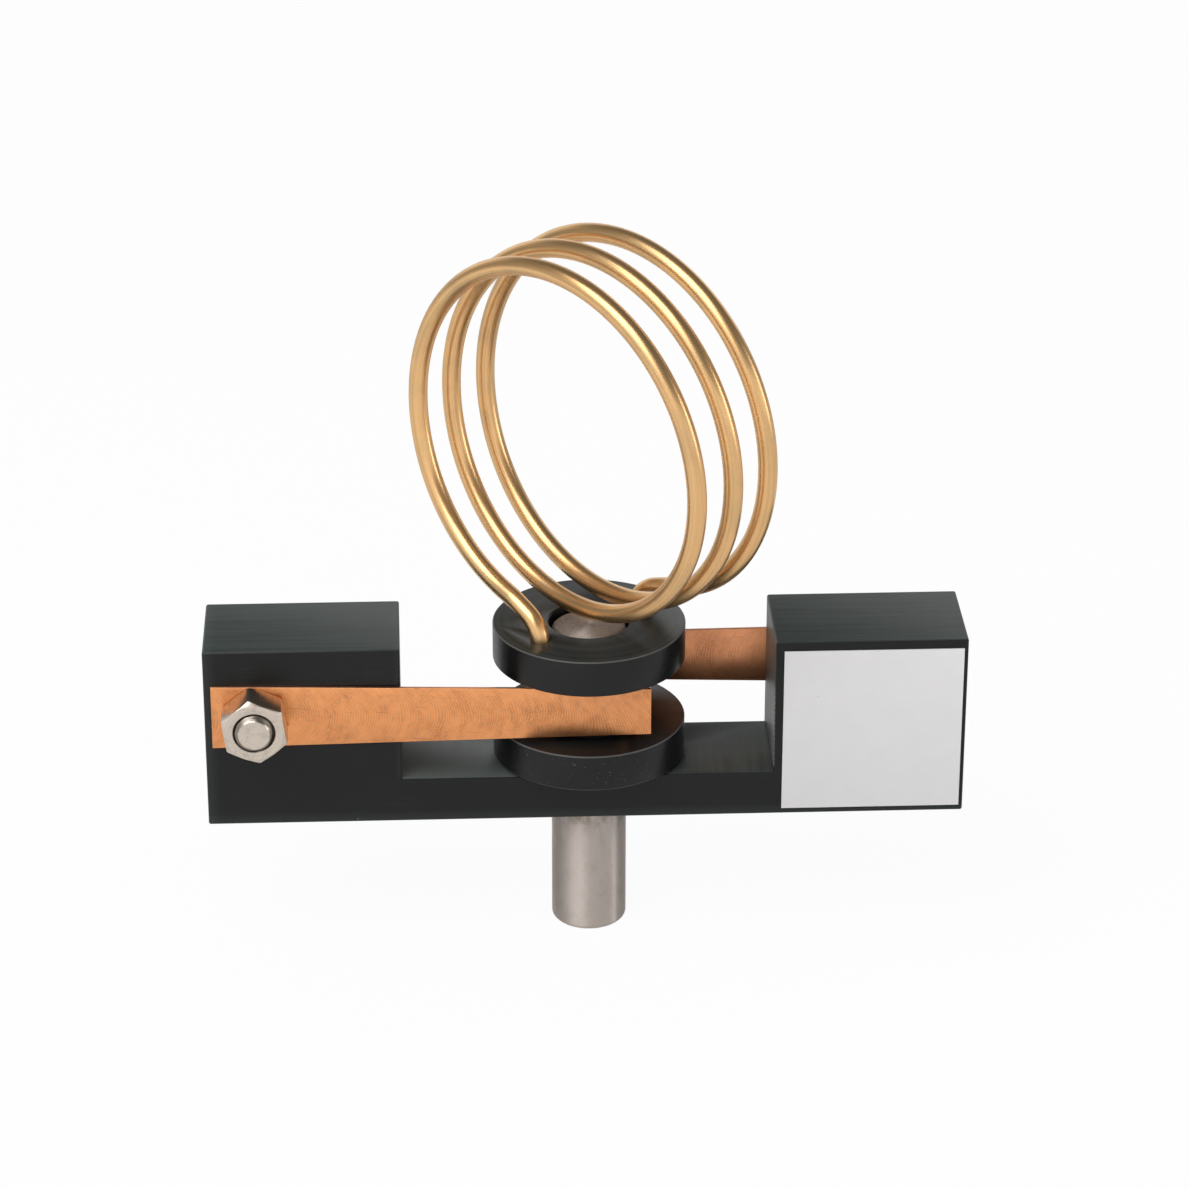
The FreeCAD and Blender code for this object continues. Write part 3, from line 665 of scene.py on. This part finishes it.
def bright_steel(colours):
    """Turned bright steel; the UV map counts millimetres from the axis and turns. The gap
    between stud and nut is darkened as painted shade.
    """
    paint = Paint("bright_steel")
    radius, _ = paint.cells()
    rings = paint.noise(paint.join(radius, 0.0, 0.0), 7.0, 3.0, 0.7)
    cloud = paint.cloudy(0.9, 3.0, 0.6)
    grain = paint.cloudy(3.5, 3.0, 0.6)
    stain = cloud.rise(0.45, 0.75) * 0.45 + rings.rise(0.50, 0.64) * 0.35 + grain * 0.15
    tone = paint.mix(stain, colours.nickel, colours.nickel_stain)
    # Painted shade in the gap between the stud's thread and the nut's countersink
    gap_shade = radius.band(2.10, 2.82, 0.08)
    tone = paint.mix(gap_shade * 0.75, tone, colours.thread_gap_shade)
    rough = 0.17 + rings * 0.12 + cloud * 0.10 + grain * 0.06
    height = rings + cloud * 0.5 + grain * 0.5
    return paint.finish(tone, rough, height, 0.005, Metallic=1.0)


def label_film(colours):
    """Matt film with nothing printed on it."""
    paint = Paint("label_film")
    grain = paint.cloudy(6.0, 2.0)
    cloud = paint.cloudy(0.25, 3.0)
    dirt = paint.specks(paint.place, 3.3, 0.10, 0.10)
    tone = paint.shade(colours.label, 0.95 + cloud * 0.07 + grain * 0.03 - dirt * 0.4)
    return paint.finish(tone, 0.46 + cloud * 0.1, grain, 0.002)


def white_washer(colours):
    """White plastic washer, a little grey with wear."""
    paint = Paint("white_washer_plastic")
    radius = paint.span(paint.x, paint.y)
    wear = paint.noise(paint.join(radius, 0.0, 0.0), 2.5, 3.0)
    cloud = paint.cloudy(0.5, 3.0)
    tone = paint.shade(colours.washer, 0.85 + cloud * 0.15 - wear.rise(0.55, 0.7) * 0.15)
    return paint.finish(tone, 0.45 + wear * 0.15, wear + cloud, 0.004)


def lead_free_solder(colours):
    """Solder that set with a grainy skin and brown traces of flux."""
    paint = Paint("lead_free_solder")
    grain = paint.cloudy(3.5, 4.0, 0.6)
    cloud = paint.cloudy(0.9, 2.0)
    tone = paint.mix(cloud.rise(0.5, 0.75) * 0.4, colours.solder, colours.flux)
    return paint.finish(tone, 0.34 + grain * 0.2, grain, 0.03, Metallic=1.0)


# Pieces

def settings(context):
    """The sizes and the colours."""
    return context.scene.motor_sizes, context.scene.motor_colours


class MOTOR_OT_bar(bpy.types.Operator):
    """Milled bar with eased edges and tool marks"""
    bl_idname = "motor.bar"
    bl_label = "Bar"

    def execute(self, context):
        sizes, colours = settings(context)
        piece = eased_copy("base_bar", "bar", sizes.edge_ease)
        dress(piece, milled_plastic(colours, sizes), "frame", "black_plastic", "base_bar")
        return {"FINISHED"}


class MOTOR_OT_rod(bpy.types.Operator):
    """Steel rod, with the thrust washer on it"""
    bl_idname = "motor.rod"
    bl_label = "Rod and washer"

    def execute(self, context):
        sizes, colours = settings(context)
        radius, chamfer = sizes.rod_radius, sizes.rod_break
        low, high = ROD_LOW.z, ROD_HIGH.z
        profile = np.array([
            (0, low), (radius - chamfer, low), (radius, low + chamfer), (radius, 0),
            (sizes.seat_radius, 0), (sizes.seat_radius, sizes.web_height),
            (radius, sizes.web_height), (radius, high - chamfer), (radius - chamfer, high),
            (0, high),
        ])
        piece = turned("rod", eased(profile, sizes.rod_easing * chamfer, steps=4))
        dress(piece, ground_steel(colours), "frame", "ground_steel", "axle_rod")
        paint_node("thrust_washer", white_washer(colours))
        return {"FINISHED"}


def lift_tip(piece, stud, lift):
    """Bend a strip up: z gains lift times s^3, where s is 0 at the stud and 1 at the tip."""
    low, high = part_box(stud)
    middle = (low.x + high.x) / 2
    points = np.empty((len(piece.data.vertices), 3))
    piece.data.vertices.foreach_get("co", points.ravel())
    share = (points[:, 0] - middle) / (points[:, 0].max() - middle)
    points[:, 2] += lift * np.clip(share, 0, 1) ** 3
    piece.data.vertices.foreach_set("co", points.ravel())
    piece.data.update()


class MOTOR_OT_brushes(bpy.types.Operator):
    """Front and rear copper strips"""
    bl_idname = "motor.brushes"
    bl_label = "Brushes"

    def execute(self, context):
        sizes, colours = settings(context)
        kinds = (("front", -1, colours.copper, sizes.tip_lift),
                 ("rear", 1, colours.rear_copper, 0.0))
        for name, side, tone, lift in kinds:
            piece = eased_copy(f"{name}_brush", f"{name}_strip", sizes.edge_ease)
            if lift:
                lift_tip(piece, f"{name}_stud", lift)
            finish = strip_copper(f"{name}_copper", tone, colours.copper_stain, side, sizes)
            dress(piece, finish, "frame", f"{name}_copper", f"{name}_brush")
        return {"FINISHED"}


def stud_grid(sizes, depth):
    """Threaded stud along +Z from 0 to depth, and its UV pairs.

    Its radius is the crest radius less the thread depth times a triangle wave of
    z / pitch - turn, cut flat at crests and roots, and no more than the chamfer cones at both
    ends allow. Ten rows of points make one pitch.
    """
    turn = np.linspace(0, 1, 65)[None, :]
    count = int(depth / sizes.thread_pitch * 10)
    height = np.linspace(0, depth, count)[:, None]
    phase = (height / sizes.thread_pitch - turn) % 1
    wave = np.abs(2 * phase - 1)
    radius = sizes.stud_radius - sizes.thread_depth * np.clip(wave * 1.25 - 0.12, 0, 1)
    cone = sizes.stud_radius - sizes.stud_break + np.minimum(height, depth - height)
    radius = np.minimum(radius, cone)
    height = np.broadcast_to(height, radius.shape)
    centre = np.zeros_like(radius[:1])
    radius = np.concatenate([centre, radius, centre])
    height = np.concatenate([centre, height, centre + depth])
    return ring_points(radius, height, turn)


def nut_grid(sizes, depth):
    """Hexagon nut along +Z from 0 to depth, and its UV pairs.

    The wall's radius is the apothem over the cosine of the angle from the nearest flat, and
    at the corners at most the apothem times 1.145. Both faces fall away outside the face
    circle by tan 30 degrees, and the bore has countersinks.
    """
    turn = np.linspace(0, 1, 241)[None, :]
    off_flat = (turn * 6) % 1 - 0.5
    apothem = sizes.nut_width / 2
    wall = np.minimum(apothem / np.cos(off_flat * math.pi / 3), apothem * 1.145)
    face = sizes.nut_face / 2
    drop = (wall - face) * math.tan(math.pi / 6)
    bore, sunk = sizes.stud_radius, sizes.nut_countersink
    rows = [(bore, depth / 2), (bore, sunk), (bore + sunk, 0), (face, 0), (wall, drop),
            (wall, depth - drop), (face, depth), (bore + sunk, depth), (bore, depth - sunk),
            (bore, depth / 2)]
    radius = np.concatenate([np.broadcast_to(r, wall.shape) for r, _ in rows])
    height = np.concatenate([np.broadcast_to(h, wall.shape) for _, h in rows])
    corners = eased(np.stack([radius, height], -1), sizes.nut_easing)
    return ring_points(corners[..., 0], corners[..., 1], turn)


def ring_points(radius, height, turn):
    """Points (r cos, r sin, height) for each turn, with UV pairs (r in millimetres, turn)."""
    turn = np.broadcast_to(turn, radius.shape)
    points = np.stack([radius * np.cos(2 * np.pi * turn), radius * np.sin(2 * np.pi * turn),
                       height], -1)
    return points, np.stack([radius / MM, turn], -1)


def stood_out(node, side, grid, turn=0.0):
    """Points of a grid built along +Z, turned about that axis and stood on a node's place.

    The bar's front side is -1 and its rear side 1, and the piece's +Z points out of it. Its
    height 0 comes to the node's inner end.
    """
    low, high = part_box(node)
    inner = high.y if side < 0 else low.y
    spin = Matrix.Rotation(turn, 3, "Z")
    tip = Matrix.Rotation(math.radians(-90 * side), 3, "X")
    place = np.array([(low.x + high.x) / 2, inner, (low.z + high.z) / 2])
    return grid @ np.array(tip @ spin).T + place


class MOTOR_OT_terminals(bpy.types.Operator):
    """Threaded studs with their hexagon nuts"""
    bl_idname = "motor.terminals"
    bl_label = "Studs and nuts"

    def execute(self, context):
        sizes, colours = settings(context)
        finish = bright_steel(colours)
        for name, side in (("front", -1), ("rear", 1)):
            low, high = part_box(f"{name}_stud")
            grid, cells = stud_grid(sizes, high.y - low.y)
            grid = stood_out(f"{name}_stud", side, grid)
            piece = grid_piece(f"{name}_threaded_stud", grid, cells, sharp=30)
            dress(piece, finish, "frame", "terminal_steel", f"{name}_stud")
            low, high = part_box(f"{name}_nut")
            grid, cells = nut_grid(sizes, high.y - low.y)
            grid = stood_out(f"{name}_nut", side, grid, sizes.nut_angle)
            piece = grid_piece(f"{name}_hexagon_nut", grid, cells, sharp=40)
            dress(piece, finish, "frame", "terminal_steel", f"{name}_nut")
        return {"FINISHED"}


class MOTOR_OT_label(bpy.types.Operator):
    """Bare label on the right block"""
    bl_idname = "motor.label"
    bl_label = "Label"

    def execute(self, context):
        sizes, colours = settings(context)
        piece = eased_copy("label_plate", "label", 0.5 * sizes.edge_ease)
        dress(piece, label_film(colours), "frame", "label", "label_plate")
        return {"FINISHED"}


class MOTOR_OT_discs(bpy.types.Operator):
    """Lower and upper disc of the rotor"""
    bl_idname = "motor.discs"
    bl_label = "Discs"

    def execute(self, context):
        sizes, colours = settings(context)
        finish = turned_plastic("turned_black_plastic", colours)
        for node in ("lower_disc", "upper_disc"):
            piece = eased_copy(node, f"{node}_turned", 0.5 * sizes.edge_ease)
            dress(piece, finish, "rotor", "disc_plastic", node)
        return {"FINISHED"}


class MOTOR_OT_commutator(bpy.types.Operator):
    """Hub with the two copper half shells"""
    bl_idname = "motor.commutator"
    bl_label = "Commutator"

    def execute(self, context):
        sizes, colours = settings(context)
        paint_node("commutator_hub", turned_plastic("hub_black_plastic", colours, 0.05))
        shells = half_shell_copper(colours, sizes)
        paint_node("commutator_segment_a", shells)
        paint_node("commutator_segment_b", shells)
        return {"FINISHED"}


def coil_line(sizes):
    """Centre line of the coil from one foot to the other, and the coil's axis.

    Turn angle t runs from one lead's start to the other's, from the lowest point. The point
    is the centre, plus the pitch along the axis per turn, plus the radius along the spoke,
    which turns about the axis. The radius grows by the gain per turn, falls by the bow times
    the square of the turns from the middle, and grows on two sides by the oval times them.
    """
    plan, lean = sizes.coil_angle, sizes.coil_lean
    level = np.array([math.cos(plan), math.sin(plan), 0])
    across = np.array([math.sin(plan), -math.cos(plan), 0])
    rise = np.array([0, 0, 1.0])
    axis = level * math.cos(lean) + rise * math.sin(lean)
    up = rise * math.cos(lean) - level * math.sin(lean)
    whole = 2 * math.pi * sizes.coil_turns
    turn = np.linspace(sizes.lead_start, whole - sizes.lead_start, 128 * sizes.coil_turns)
    turn = turn[:, None]
    share = (turn - whole / 2) / (2 * math.pi)
    spoke = -across * np.sin(turn) - up * np.cos(turn)
    centre = np.array([0, 0, sizes.coil_height]) + axis * sizes.coil_shift
    radius = sizes.coil_radius + sizes.coil_gain * share - sizes.coil_bow * share ** 2
    radius = radius + sizes.coil_oval * share * np.cos(2 * (turn - sizes.coil_oval_angle))
    turns = centre + axis * sizes.coil_pitch * share + spoke * radius
    first = lead(sizes, turns[0], turns[0] - turns[1], plan + sizes.lead_angle + math.pi)
    last = lead(sizes, turns[-1], turns[-1] - turns[-2], plan + sizes.lead_angle)
    return np.concatenate([first[:0:-1], turns, last[1:]]), axis


def lead(sizes, start, heading, hole_angle):
    """Lead from the end of the turns: straight on, sideways, and down into the disc."""
    heading = unit(heading)
    hole = sizes.lead_reach * np.array([math.cos(hole_angle), math.sin(hole_angle), 0])
    corner = hole + np.array([0, 0, DISC_HIGH.z + sizes.lead_corner])
    foot = hole + np.array([0, 0, DISC_LOW.z])
    easing = arc(start, start + heading * sizes.lead_run, corner, sizes.lead_easing)
    bend = arc(start + heading * sizes.lead_run, corner, foot, sizes.lead_bend)
    return np.concatenate([start[None], easing, bend, foot[None]])


def arc(before, corner, after, radius, steps=14):
    """Arc of a radius that touches both sides of a corner.

    From its centre, a point lies at (sin((1-s) w) a + sin(s w) b) / sin w, where a and b
    are the spokes to the two touching points and w is the angle between them.
    """
    back, ahead = unit(before - corner), unit(after - corner)
    half = math.acos(float(back @ ahead)) / 2
    centre = corner + unit(back + ahead) * radius / math.sin(half)
    first = corner + back * radius / math.tan(half) - centre
    last = corner + ahead * radius / math.tan(half) - centre
    sweep = math.pi - 2 * half
    share = np.linspace(0, 1, steps)[:, None]
    return centre + (np.sin((1 - share) * sweep) * first
                     + np.sin(share * sweep) * last) / math.sin(sweep)


def wire(line, axis, radius, sides=32):
    """Round wire along a line, closed at both ends, and its UV pairs.

    At each point the ring lies across the line: radius times (cos a U + sin a V), where U is
    the coil's axis made square to the line and V is the line's direction times U.
    """
    along = unit(np.gradient(line, axis=0))
    first = unit(axis - (along @ axis)[:, None] * along)
    second = np.cross(along, first)
    around = np.linspace(0, 2 * np.pi, sides + 1)[None, :, None]
    ring = np.cos(around) * first[:, None] + np.sin(around) * second[:, None]
    points = line[:, None] + radius * ring
    points = np.concatenate([np.repeat(line[:1, None], sides + 1, 1), points,
                             np.repeat(line[-1:, None], sides + 1, 1)])
    steps = np.linalg.norm(np.diff(line, axis=0), axis=1)
    run = np.concatenate([[0, 0], np.cumsum(steps), [np.sum(steps)]]) / MM
    cells = np.stack(np.broadcast_arrays(run[:, None], np.linspace(0, 1, sides + 1)), -1)
    return points, cells


class MOTOR_OT_coil(bpy.types.Operator):
    """Bare brass wire coil with its two leads, and the solder at their feet"""
    bl_idname = "motor.coil"
    bl_label = "Coil"

    def execute(self, context):
        sizes, colours = settings(context)
        line, axis = coil_line(sizes)
        points, cells = wire(line, axis, sizes.wire_radius)
        piece = grid_piece("brass_coil", points, cells, sharp=60)
        dress(piece, drawn_brass(colours), "rotor", "coil_brass", "coil")
        paint_node("solder_joints", lead_free_solder(colours))
        return {"FINISHED"}


# Stage

class MOTOR_OT_stage(bpy.types.Operator):
    """Pale floor, soft lights and the camera"""
    bl_idname = "motor.stage"
    bl_label = "Stage"

    def execute(self, context):
        stage = context.scene.motor_stage
        self.floor()
        self.world(context.scene, stage.ambient, stage.ceiling)
        self.lamp("key_softbox", stage.softbox, (0.80, 0.80), (-0.42, -0.47, 0.78))
        self.lamp("right_strip_lamp", stage.strip_lamp, (0.14, 0.50), (0.95, -0.20, 0.26))
        self.camera(context.scene, stage)
        context.scene.view_settings.view_transform = "Standard"
        return {"FINISHED"}

    def floor(self):
        """Square floor under the stem, white to the camera and pale where it is lit."""
        side = np.linspace(-3, 3, 13)
        across, along = np.meshgrid(side, side)
        grid = np.stack([across, along, np.full_like(across, ROD_LOW.z)], -1)
        piece = grid_piece("floor", grid)
        if piece.data.polygons[0].normal.z < 0:
            piece.data.flip_normals()
        nodes = Nodes(bpy.data.materials.new("pale_floor"))
        plain = nodes.add("ShaderNodeBsdfDiffuse", {}, {"Color": (0.88, 0.88, 0.88, 1)})
        glow = nodes.add("ShaderNodeEmission", {}, {"Strength": 1.0})
        both = nodes.add("ShaderNodeMixShader", {}, [nodes.seen(0.95, 0.0), plain, glow])
        nodes.add("ShaderNodeOutputMaterial", {}, {"Surface": both})
        piece.data.materials.append(nodes.owner)

    def world(self, scene, ambient, ceiling):
        """White walls, dim at the sides, and a dim ceiling where they are seen.

        Everything else gets light from all round.
        """
        scene.world = bpy.data.worlds.new("studio")
        nodes = Nodes(scene.world)
        white = (1, 1, 1, 1)
        direction = nodes.add("ShaderNodeTexCoord", {}, {}, "Generated")
        parts = nodes.add("ShaderNodeSeparateXYZ", {}, [direction]).socket.node.outputs
        across, back, height = (Value(nodes, part) for part in parts)
        dark = across.math("ABSOLUTE").rise(0.60, 0.90) * back.rise(-0.5, 0.1)
        bright = height.rise(0.55, 0.27) * (1 - dark * 0.85)
        light = nodes.add("ShaderNodeBackground", {}, {"Color": white, "Strength": ambient})
        walls = nodes.add("ShaderNodeBackground", {}, {
            "Color": white, "Strength": bright * (1 - ceiling) + ceiling})
        both = nodes.add("ShaderNodeMixShader", {}, [nodes.seen(), light, walls])
        nodes.add("ShaderNodeOutputWorld", {}, {"Surface": both})

    def lamp(self, name, watts, sides, place):
        """Soft lamp with two sides, at a place and facing the frame's origin."""
        light = bpy.data.lights.new(name, "AREA")
        light.shape = "RECTANGLE"
        light.size, light.size_y = sides
        light.energy = watts
        lamp = bpy.data.objects.new(name, light)
        turn = (-Vector(place)).to_track_quat("-Z", "Y").to_matrix().to_4x4()
        lamp.matrix_world = Matrix.Translation(place) @ turn
        bpy.context.scene.collection.objects.link(lamp)

    def camera(self, scene, stage):
        """Camera at its yaw, pitch and roll, at the distance from its target."""
        yaw, pitch, roll = stage.yaw, stage.pitch, stage.roll
        ahead = Vector((math.sin(yaw) * math.cos(pitch), math.cos(yaw) * math.cos(pitch),
                        -math.sin(pitch)))
        level = Vector((math.cos(yaw), -math.sin(yaw), 0))
        rise = level.cross(ahead)
        right = level * math.cos(roll) + rise * math.sin(roll)
        up = rise * math.cos(roll) - level * math.sin(roll)
        eye = (Vector(stage.target) + right * stage.aside + up * stage.above
               - ahead * stage.distance)
        data = bpy.data.cameras.new("camera")
        data.sensor_width = 36.0
        data.lens = stage.lens
        data.clip_start = 0.01
        data.clip_end = 50.0
        camera = bpy.data.objects.new("camera", data)
        turn = Matrix((right, up, -ahead)).transposed()
        camera.matrix_world = Matrix.Translation(eye) @ turn.to_4x4()
        scene.collection.objects.link(camera)
        scene.camera = camera


OPERATORS = (MOTOR_OT_bar, MOTOR_OT_rod, MOTOR_OT_brushes, MOTOR_OT_terminals, MOTOR_OT_label,
             MOTOR_OT_discs, MOTOR_OT_commutator, MOTOR_OT_coil, MOTOR_OT_stage)
GROUPS = (("motor_sizes", MotorSizes), ("motor_colours", MotorColours),
          ("motor_stage", MotorStage))


class MOTOR_PT_panel(bpy.types.Panel):
    """The motor's settings and pieces"""
    bl_idname = "MOTOR_PT_panel"
    bl_label = "Demonstration motor"
    bl_space_type = "VIEW_3D"
    bl_region_type = "UI"
    bl_category = "Motor"

    def draw(self, context):
        for name, group in GROUPS:
            box = self.layout.box()
            for key in group.__annotations__:
                box.prop(getattr(context.scene, name), key)
        for operator in OPERATORS:
            self.layout.operator(operator.bl_idname)


def register():
    for name, group in GROUPS:
        bpy.utils.register_class(group)
        setattr(bpy.types.Scene, name, PointerProperty(type=group))
    for kind in (*OPERATORS, MOTOR_PT_panel):
        bpy.utils.register_class(kind)


def unregister():
    for kind in (MOTOR_PT_panel, *OPERATORS):
        bpy.utils.unregister_class(kind)
    for name, group in GROUPS:
        delattr(bpy.types.Scene, name)
        bpy.utils.unregister_class(group)


def main():
    """Make the pieces and the stage."""
    register()
    bpy.ops.motor.bar()
    bpy.ops.motor.rod()
    bpy.ops.motor.brushes()
    bpy.ops.motor.terminals()
    bpy.ops.motor.label()
    bpy.ops.motor.discs()
    bpy.ops.motor.commutator()
    bpy.ops.motor.coil()
    bpy.ops.motor.stage()
    bpy.context.view_layer.update()


if __name__ == "__main__":
    main()
